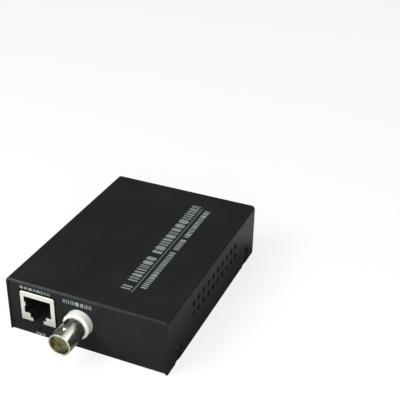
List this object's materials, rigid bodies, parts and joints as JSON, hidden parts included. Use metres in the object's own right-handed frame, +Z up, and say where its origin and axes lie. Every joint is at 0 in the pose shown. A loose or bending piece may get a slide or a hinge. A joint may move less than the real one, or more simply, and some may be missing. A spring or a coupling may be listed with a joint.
{
  "type": "coax to ethernet converter",
  "caption": "Flat black steel box with an ethernet socket, a bayonet coax jack and a status light in front, a power jack at the rear and round vents in its folded cover.",
  "frame": {"origin": "centre of the case's footprint, on its flat underside", "axes": "+Z up, the front panel with the jacks faces -Y, +X to the right seen from the front"},
  "size_m": [0.071, 0.1101, 0.0255],
  "materials": {
    "black_paint": "satin",
    "black_screw": "satin",
    "zinc_steel": "satin",
    "board_laminate": "matte",
    "tin_plate": "gloss",
    "jack_plastic": "matte",
    "gold_plate": "gloss",
    "white_plastic": "gloss",
    "nickel_plate": "gloss",
    "insulator_plastic": "matte",
    "light_green": "gloss",
    "chip_plastic": "matte",
    "ferrite": "matte",
    "can_aluminium": "satin",
    "capacitor_ceramic": "matte",
    "resistor_ceramic": "matte"
  },
  "bodies": {
    "root": {"top_cover": "black_paint", "base_chassis": "black_paint", "cover_screws": "black_screw", "board_standoffs": "zinc_steel", "board_screws": "zinc_steel", "circuit_board": "board_laminate", "ethernet_jack_shield": "tin_plate", "ethernet_jack_housing": "jack_plastic", "ethernet_jack_contacts": "gold_plate", "coax_jack_housing": "white_plastic", "coax_jack_shell": "nickel_plate", "coax_jack_insulator": "insulator_plastic", "coax_jack_center_contact": "gold_plate", "coax_jack_ground_pin": "tin_plate", "power_jack_housing": "jack_plastic", "power_jack_pin": "nickel_plate", "power_jack_spring": "tin_plate", "status_led_lens": "light_green", "status_led_leads": "tin_plate", "modem_chip": "chip_plastic", "modem_chip_leads": "tin_plate", "ethernet_phy_chip": "chip_plastic", "ethernet_phy_chip_leads": "tin_plate", "firmware_chip": "chip_plastic", "firmware_chip_leads": "tin_plate", "isolation_transformer": "chip_plastic", "isolation_transformer_leads": "tin_plate", "line_transformer": "ferrite", "crystal_cans": "zinc_steel", "electrolytic_capacitors": "can_aluminium", "power_inductor": "ferrite", "voltage_regulators": "chip_plastic", "protection_diode": "chip_plastic", "ceramic_capacitors": "capacitor_ceramic", "chip_resistors": "resistor_ceramic"}
  },
  "joints": []
}
